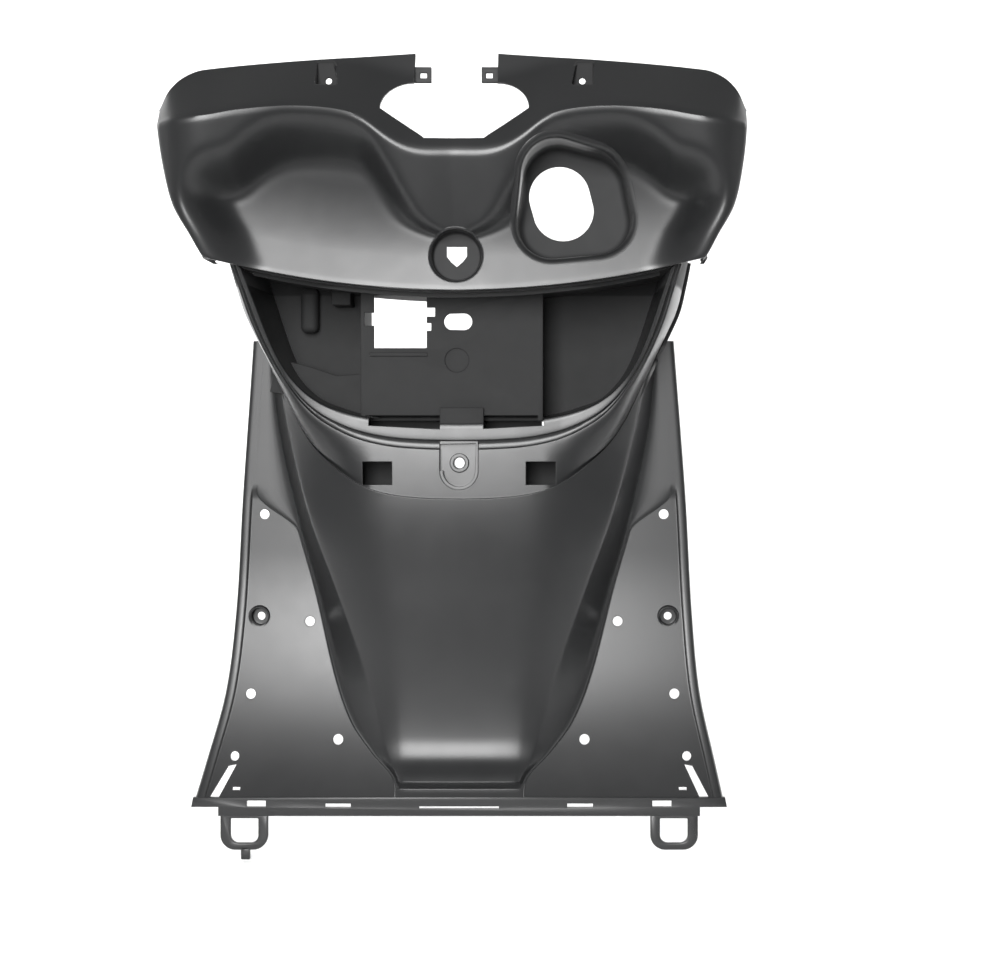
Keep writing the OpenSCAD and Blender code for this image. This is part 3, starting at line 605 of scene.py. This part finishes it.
deep = []
for t in range(0, 4 * (len(pod_outline) - 1) - 3):
    x, out, z = pod_section(t / 4)[-1]
    deep.append((x + 1, z - 1))
roof_line = [(mouth_half * k / 6, lip_height(mouth_half * k / 6) + 4.5) for k in range(6, -7, -1)]
floor_outline = deep + roof_line + mirrored(deep)[:-1]
block, hollow = rectangle(-77, 307, 65, 412), rectangle(-74.4, 309.6, 62.4, 409.4)
back_out, behind_face, before_face = bay_out - wall, 40, 70
bay_floor = carve(prism(floor_outline, back_out, bay_out, "bay_floor"), [prism(hollow, -20, 20)])
centre_block = carve(prism(block, back_out, block_out, "centre_block"),
                     [prism(hollow, -20, block_out - wall)])
window = rectangle(-66.5, 363.5, -25.5, 404.5)
notches = [rectangle(-74, 381, -64, 391), rectangle(-27, 388, -19, 395), rectangle(-27, 377, -22, 383)]
latch_hole = [(x + (3.5 if x >= -1 else -5.5), z) for x, z in circle(0, 384, 6.5, 24)]
round_mark, foot_step = circle(-2, 354, 9.4, 32), rectangle(-73, 302, 61, 311)
block_cuts = [(outline, behind_face) for outline in [window] + notches + [latch_hole]]
block_cuts += [(round_mark, block_out - 1.4), (foot_step, block_out - 12)]
for outline, back in block_cuts:
    carve(centre_block, [prism(outline, back, before_face)])
edged(centre_block)
shelf_outline = [(-152, 330), (-147, 357), (-120, 350), (-99, 343), (-72, 345), (-72, 306),
                 (-95, 314), (-120, 326)]
shelf = edged(prism(shelf_outline, bay_out - wall, 32, "bay_shelf"))
boss = edged(prism(rectangle(-130, 378, -116, 414), 4, 19, "bay_boss"), 5, 4)
tab = edged(prism(rectangle(-103, 399, -88, 415), 5, 32, "bay_tab"))
ledge = edged(prism(rectangle(-70, 357, -25, 360), block_out - 1, block_out + 1.6, "window_ledge"), 0.5)
tongue = edged(prism(rectangle(-15, 297, 19, 317), block_out - wall, 61, "lid_tongue"))
# A plate closes the lid's slots and pockets at the back. Its upper part stays inside the block.
back_outline = [(-82, 253), (82, 253), (82, 303.5), (63.7, 303.5), (63.7, 325), (-75.7, 325),
                (-75.7, 303.5), (-82, 303.5)]
screw_way = circle(0, screw_z, 7, 32)
seat_back = carve(prism(back_outline, 22, 24, "lid_seat_back"), [prism(screw_way, 10, 40)])


def roof_point(u, v):
    x = (2 * u - 1) * (pod_half - 9)
    return place(x, mix(lip_out - 6, bay_out - wall, v), lip_height(x) + 2.2)


roof = thicken(body_from(sheet(6, 41, roof_point), "glove_box_roof"))


def rib_point(u, v):
    x = (2 * u - 1) * (mouth_half - 6)
    return place(x, lip_out - 15, lip_height(x) + mix(-3.5, 4, v))


lip_rib = thicken(body_from(sheet(3, 61, rib_point), "lip_rib"), 3.6)
box_parts = [bay_floor, centre_block, shelf, boss, tab, ledge, tongue, seat_back, roof, lip_rib]
print("glove box:", sum(len(p.data.polygons) for p in box_parts), "faces")

# %% [markdown]
# ## Seats, clips and the foot
# Screw seats are short turned bosses. The flange along the foot carries slots and two loops that
# take tongues of the floor board.

# %% Screw seats
def ring_boss(name, x, z, stations):
    """A boss turned round the axis of its screw: stations are (radius, stand-out)."""
    bm = bmesh.new()
    line = [bm.verts.new(place(x + r, out, z)) for r, out in stations]
    edges = [bm.edges.new(pair) for pair in zip(line, line[1:] + line[:1])]
    bmesh.ops.spin(bm, geom=edges, cent=place(x, 0, z), axis=(0, 1, 0), angle=2 * math.pi,
                   steps=48, use_merge=True)
    bmesh.ops.remove_doubles(bm, verts=bm.verts, dist=1e-7)
    bmesh.ops.recalc_face_normals(bm, faces=bm.faces)
    return body_from(bm, name)


centre_seat = [(4.2, 46), (7.5, 46), (7.5, 57.6), (7.1, 58), (4.8, 58), (4.2, 57.4)]
leg_seat = [(3.25, -9), (9.6, -9), (9.6, 1.3), (8.2, 4.2), (7.0, 3.4), (7.0, -5.4), (6.4, -6),
            (3.25, -6)]
seats = [ring_boss("centre_seat", 0, screw_z, centre_seat)]
for side, name in ((1, "leg_seat_right"), (-1, "leg_seat_left")):
    seats.append(ring_boss(name, side * leg_screw_x, leg_screw_z, leg_seat))
wide_seat = [(x * 1.1, z) for x, z in seat]
seat_floor = prism(wide_seat, seat_out - wall, seat_out, "seat_floor")
carve(seat_floor, [prism(screw_way, 40, 70)])


def seat_wall_point(u, v):
    x, z = seat[round(u * (len(seat) - 1))]
    return place(x, mix(seat_out - 1, mouth_low_out - 0.6, v), z)


seat_wall = thicken(body_from(sheet(3, len(seat), seat_wall_point), "seat_wall"))
print("screw seats:", len(seats), "bosses")

# %% Foot flange and loops
half = foot_w / 2
flange_outline = [(-half, 7), (-half + 21, 7), (-half + 21, 0), (half - 21, 0), (half - 21, 7),
                  (half, 7), (half - 1.5, foot_h), (-half + 1.5, foot_h)]
flange_slots = both(rectangle(150, 7, 165, 12)) + both(rectangle(84, 6.5, 104, 9.7))
flange_slots += [rectangle(-31, 5.5, 31, 7.5)]
flange = prism(flange_outline, toe_out - wall - 1, toe_out + 0.6, "foot_flange")
edged(carve(flange, [prism(o, 0, 100) for o in flange_slots]), 0.6)


def loop_outline(low, r, left, right, top):
    """A U: straight sides from the top, and two quarter arcs round (left, low) and (right, low)."""
    line = [(left - r, top), (right + r, top)]
    for x, degrees in ((right, range(0, -91, -10)), (left, range(-90, -181, -10))):
        for a in map(math.radians, degrees):
            line.append((x + r * math.cos(a), low + r * math.sin(a)))
    return line


loops, loop_thick = [], 4
for side, name in ((1, "foot_loop_right"), (-1, "foot_loop_left")):
    outer = [(side * x, z) for x, z in loop_outline(-15, 11.5, 160, 174, 2)]
    inside = [(side * x, z) for x, z in loop_outline(-15, 6, 162, 171.5, -2)]
    loop = carve(prism(outer, toe_out - loop_thick, toe_out, name), [prism(inside, 0, 100)])
    loops.append(edged(loop, 0.9, 3))
nub_outline = rectangle(-169.5, -34, -162.5, -24)
nub = edged(prism(nub_outline, toe_out - loop_thick, toe_out, "loop_nub"), 0.8)
clips = []
clip_plate = rectangle(19, cowl_top_z - 24, 35, cowl_top_z - 12)
clip_hole = rectangle(22.5, cowl_top_z - 20.5, 27.5, cowl_top_z - 16.5)
for side, name in ((1, "column_clip_right"), (-1, "column_clip_left")):
    plate, hole = ([(side * x, z) for x, z in line] for line in (clip_plate, clip_hole))
    clips.append(edged(carve(prism(plate, 86.4, 89.4, name), [prism(hole, 60, 120)]), 0.5))
print("foot and clips:", sum(len(p.data.polygons) for p in [flange, nub] + loops + clips), "faces")

# %% [markdown]
# ## Finish
# The panel is moulded in black polypropylene with a fine grain. Its colour is even, its gloss is
# low, and the light shows as broad soft bands. Noise moves the roughness a little, as handling does.
# What lies deep in the cowl is duller, such as the floors of the switch recess and the hook's seat.
# So are the inside of the box and the screw pockets, and a second material covers those: it is
# rougher, and its darker base colour is painted shade.

# %% One class for shader maths, one method for the other nodes
class Socket:
    """Wraps an output socket, so that an expression on it adds its Math nodes."""

    def __init__(self, tree, socket):
        self.tree, self.socket = tree, socket

    def math(self, operation, *others):
        node = self.tree.nodes.new("ShaderNodeMath")
        node.operation = operation
        for pin, value in zip(node.inputs, (self,) + others):
            if isinstance(value, Socket):
                self.tree.links.new(value.socket, pin)
            else:
                pin.default_value = value
        return Socket(self.tree, node.outputs[0])

    def __add__(self, other):
        return self.math("ADD", other)

    __radd__ = __add__

    def __mul__(self, other):
        return self.math("MULTIPLY", other)

    __rmul__ = __mul__

    def __sub__(self, other):
        return self.math("SUBTRACT", other)

    def __rsub__(self, other):
        return (self * -1) + other

    def between(self, low=0.0, high=1.0):
        return self.math("MAXIMUM", low).math("MINIMUM", high)

    def node(self, kind, settings=None, out=0, **values):
        """Adds any other node to the same tree: settings first, then values or links by socket name."""
        node = self.tree.nodes.new(kind)
        for key, value in (settings or {}).items():
            setattr(node, key, value)
        for key, value in values.items():
            pin = node.inputs[key.replace("_", " ")]
            if isinstance(value, Socket):
                self.tree.links.new(value.socket, pin)
            else:
                pin.default_value = value
        return Socket(self.tree, node.outputs[out])


# %% Black grained plastic
def black_plastic(name, colour, roughness):
    material = bpy.data.materials.new(name)
    material.use_nodes = True
    tree = material.node_tree
    shader = tree.nodes["Principled BSDF"]
    shader.inputs["Specular IOR Level"].default_value = 0.5
    start = Socket(tree, None)
    where = start.node("ShaderNodeTexCoord", out=3)
    grain = start.node("ShaderNodeTexNoise", Vector=where, Scale=900.0, Detail=2.0, Roughness=0.6)
    cloud = start.node("ShaderNodeTexNoise", Vector=where, Scale=9.0, Detail=4.0, Roughness=0.55)
    rubbed = start.node("ShaderNodeTexNoise", Vector=where, Scale=60.0, Detail=3.0, Roughness=0.6)
    spot = start.node("ShaderNodeSeparateXYZ", Vector=where).socket.node
    deep, high = (Socket(tree, spot.outputs[n]) for n in (1, 2))
    # 1 on what lies deep and high, such as the floor of the switch recess, with soft edges.
    sunken = ((deep + 0.038) * 125).between() * ((high - 0.134) * 400).between()
    rough = (cloud - 0.5) * 0.1 + (rubbed - 0.5) * 0.06 + sunken * 0.4 + roughness
    tree.links.new(rough.socket, shader.inputs["Roughness"])
    # Sockets 6, 7 and 2 of a colour Mix are its A, B and result.
    tone = start.node("ShaderNodeMix", {"data_type": "RGBA"}, out=2)
    mixer = tone.socket.node
    tree.links.new(cloud.socket, mixer.inputs[0])
    mixer.inputs[6].default_value = tuple(c * 0.85 for c in colour) + (1,)
    mixer.inputs[7].default_value = tuple(c * 1.15 for c in colour) + (1,)
    tree.links.new(tone.socket, shader.inputs["Base Color"])
    rounded = start.node("ShaderNodeBevel", {"samples": 6}, Radius=0.0009)
    bump = start.node("ShaderNodeBump", Strength=0.25, Distance=0.0001, Height=grain, Normal=rounded)
    tree.links.new(bump.socket, shader.inputs["Normal"])
    return material


panel_black = black_plastic("panel_black", (0.012, 0.0123, 0.0128), 0.34)
# The dull copy is rougher, and its darker base colour is painted shade for the inside of the box and
# the screw pockets.
panel_dull_shaded = black_plastic("panel_black_dull_shaded", (0.009, 0.0092, 0.0095), 0.8)

# %% [markdown]
# ## Dressing the frame
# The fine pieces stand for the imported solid, and ride on its body. Flat box parts get a smaller
# angle for their sharp edges, so that their faces stay crisp.

# %% Pieces on their body
dressed = [leg_shield, pod, cowl, switch_recess, hook_seat, seat_floor, seat_wall, flange, nub]
dressed += pockets + box_parts + seats + loops + clips
for piece in dressed:
    smooth_shade(piece, 25 if piece in box_parts else 32)
    piece.data.materials.clear()
    # The inside of the box and the screw pockets take the dull copy, whose darker colour is painted
    # shade.
    piece.data.materials.append(panel_dull_shaded if piece in box_parts + pockets else panel_black)
    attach(piece, "root")
    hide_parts("console_panel")
print(len(dressed), "pieces,", sum(len(p.data.loop_triangles) for p in dressed), "triangles")

# %% [markdown]
# ## Floor, light and camera
# A white sweep lies under the panel and rises behind it. One tall soft lamp hangs in front, a
# little above the camera, so that faces turned to the camera shine and faces turned away stay
# dark. Two more lamps light only the backdrop. The floor ends just in front of the panel, because
# a long white floor would shine back from every face that looks down.

# %% Floor and backdrop
floor_z = -0.3095


def sweep_point(u, v):
    """The sweep in metres: a flat run from its front, a bend of radius r, and the wall."""
    length = v * 4.75
    run, r, front = 0.95, 1.0, -0.35
    x = (u - 0.5) * 9
    if length < run:
        y, z = front + length, 0.0
    elif length < run + r * math.pi / 2:
        a = (length - run) / r
        y, z = front + run + r * math.sin(a), r * (1 - math.cos(a))
    else:
        y, z = front + run + r, r + length - run - r * math.pi / 2
    return Vector((x, y, z + floor_z))


sweep = body_from(sheet(60, 3, sweep_point), "floor")
sweep.data.shade_smooth()
paper = bpy.data.materials.new("white_paper")
paper.use_nodes = True
paper_shader = paper.node_tree.nodes["Principled BSDF"]
paper_shader.inputs["Base Color"].default_value = (0.9, 0.9, 0.9, 1)
paper_shader.inputs["Roughness"].default_value = 0.9
sweep.data.materials.append(paper)

# %% Lamps and world
world = bpy.data.worlds.new("studio")
bpy.context.scene.world = world
world.use_nodes = True
world.node_tree.nodes["Background"].inputs["Color"].default_value = (1, 1, 1, 1)
world.node_tree.nodes["Background"].inputs["Strength"].default_value = 0.3


def lamp(name, place_at, aim, size, power):
    data = bpy.data.lights.new(name, "AREA")
    data.shape, data.size, data.size_y, data.energy = "RECTANGLE", size[0], size[1], power
    light = bpy.data.objects.new(name, data)
    bpy.context.scene.collection.objects.link(light)
    light.location = place_at
    light.rotation_euler = (Vector(aim) - Vector(place_at)).to_track_quat("-Z", "Y").to_euler()


lamp("key", (-0.2, -1.7, 0.4), (0, 0, 0.05), (0.6, 1.1), 52)
for side, name in ((-1, "wash_left"), (1, "wash_right")):
    lamp(name, (side * 1.7, 0.5, 0.7), (side * 0.5, 1.6, 0.0), (1.2, 1.2), 34)

# %% Camera
# The view is the photograph's: straight on, from a little to the right of the panel's middle. The
# shifts frame it without turning the camera, so its upright lines stay upright.
picture_wide, focal_length = 1000, 1726  # both in pixels
camera_data = bpy.data.cameras.new("camera")
camera = bpy.data.objects.new("camera", camera_data)
bpy.context.scene.collection.objects.link(camera)
camera.location = (0.090, -1.342, 0.0101)
camera.rotation_euler = (math.radians(90), 0, 0)
camera_data.sensor_width = 36
camera_data.lens = focal_length * 36 / picture_wide
camera_data.shift_x = -0.075
camera_data.shift_y = -0.031
bpy.context.scene.camera = camera
bpy.context.scene.view_settings.view_transform = "Standard"
